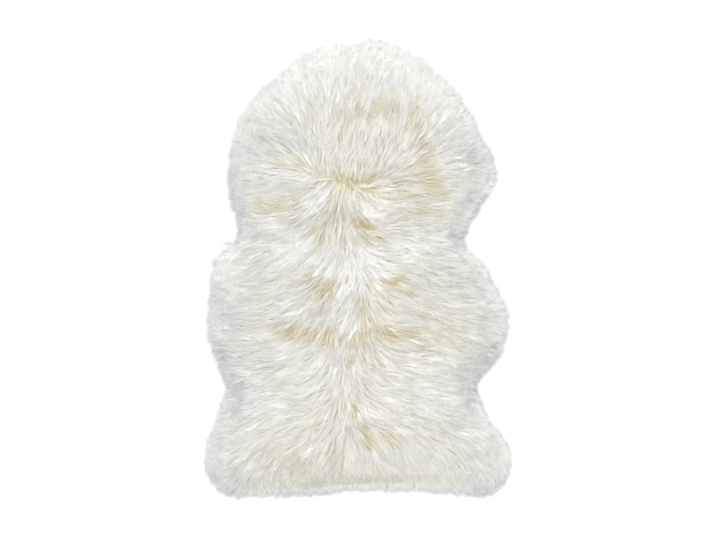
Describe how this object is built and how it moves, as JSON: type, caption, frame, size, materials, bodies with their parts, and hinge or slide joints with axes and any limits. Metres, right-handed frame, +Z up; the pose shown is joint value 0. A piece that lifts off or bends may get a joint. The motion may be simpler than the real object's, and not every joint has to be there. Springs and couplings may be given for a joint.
{
  "type": "sheepskin rug",
  "caption": "Long-wool sheepskin rug, the whole pelt laid flat with its wool up: rounded neck end, waisted flanks, straight tail end and locks of wool all round the rim.",
  "frame": {"origin": "middle of the underside, where the rug lies on the floor", "axes": "+Z up out of the wool, +Y along the back towards the neck end, X across the flanks"},
  "size_m": [0.6074, 0.9042, 0.0525],
  "materials": {
    "wool": "long soft natural wool, cream white and golden at its roots, matt with a faint silky sheen",
    "hide": "pale tanned hide, suede side down, matt"
  },
  "bodies": {
    "root": {"sheepskin": "wool"}
  },
  "joints": []
}
